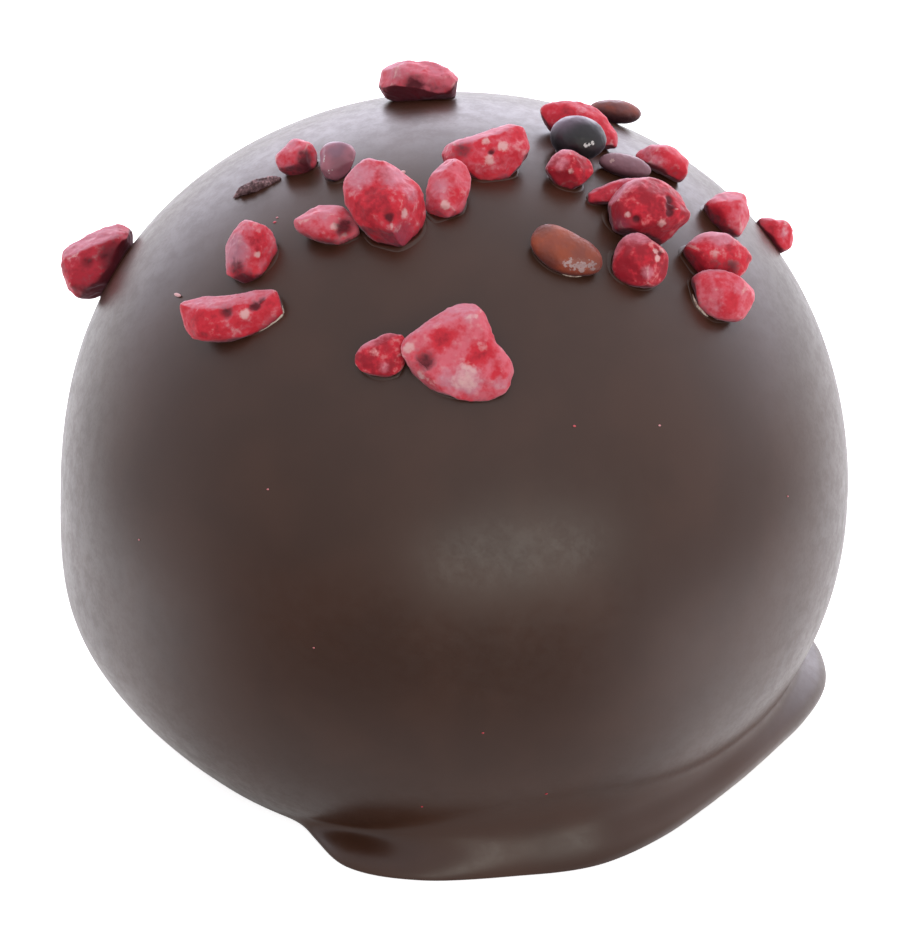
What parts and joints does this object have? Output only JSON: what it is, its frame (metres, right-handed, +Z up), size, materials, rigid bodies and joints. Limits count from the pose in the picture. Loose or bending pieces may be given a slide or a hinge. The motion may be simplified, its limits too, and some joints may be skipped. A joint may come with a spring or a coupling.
{
  "type": "chocolate praline",
  "caption": "Round dark chocolate praline on an uneven chocolate foot, with raspberry pieces and seeds stuck on its crown.",
  "frame": {"origin": "on the flat underside, below the middle of the ball", "axes": "+Z up, the pictured side towards -Y, the viewer's right at +X"},
  "size_m": [0.0281, 0.0282, 0.0232],
  "materials": {
    "dark_chocolate": "satin",
    "raspberry": "matte",
    "seed": "satin"
  },
  "bodies": {
    "root": {"praline": "dark_chocolate"}
  },
  "joints": []
}
